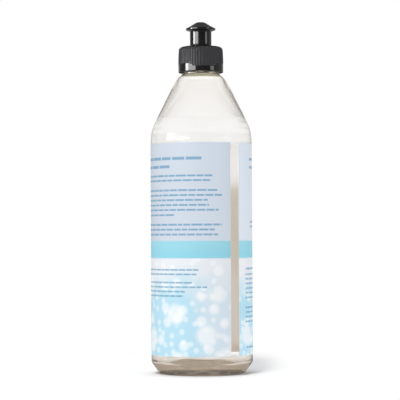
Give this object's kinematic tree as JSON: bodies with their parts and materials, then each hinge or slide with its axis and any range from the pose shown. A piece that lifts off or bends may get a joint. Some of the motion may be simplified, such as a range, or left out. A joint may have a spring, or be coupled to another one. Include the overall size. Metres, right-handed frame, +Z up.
{
  "type": "dish soap bottle",
  "caption": "Clear cylindrical soap bottle with a cone shoulder, wrap label, liquid fill and a black fluted screw cap with a push-pull spout.",
  "frame": {"origin": "centre of the foot ring, on the surface that the bottle stands on", "axes": "+Z up the bottle's axis, -Y towards the front, with the label's gap towards +X and -Y"},
  "size_m": [0.0676, 0.0676, 0.2336],
  "materials": {
    "clear_shell": "clear blown plastic",
    "soap": "clear liquid",
    "label_film": "printed film, satin",
    "foam": "closed-cell foam",
    "cap_black": "moulded, glossy",
    "spout_black": "moulded, glossy"
  },
  "bodies": {
    "bottle_body": {"bottle": "clear_shell", "dish_soap": "soap", "wrap_label": "label_film"},
    "seal_body": {"sealing_ring": "foam"},
    "cap_body": {"screw_cap": "cap_black"},
    "spout_body": {"push_pull_spout": "spout_black"}
  },
  "joints": [
    {"name": "cap_lift", "type": "slide", "parent": "bottle_body", "child": "seal_body", "axis": [0, 0, 1], "range_m": [0, 0.00635]},
    {"name": "cap_turn", "type": "hinge", "parent": "seal_body", "child": "cap_body", "pos_m": [0, 0, 0.2], "axis": [0, 0, 1], "range_deg": [0, 540]},
    {"name": "spout_pull", "type": "slide", "parent": "cap_body", "child": "spout_body", "axis": [0, 0, 1], "range_m": [0, 0.006]}
  ],
  "couplings": [
    {"joint": "cap_lift", "follows": "cap_turn", "m_per_rad": 0.0006737}
  ]
}
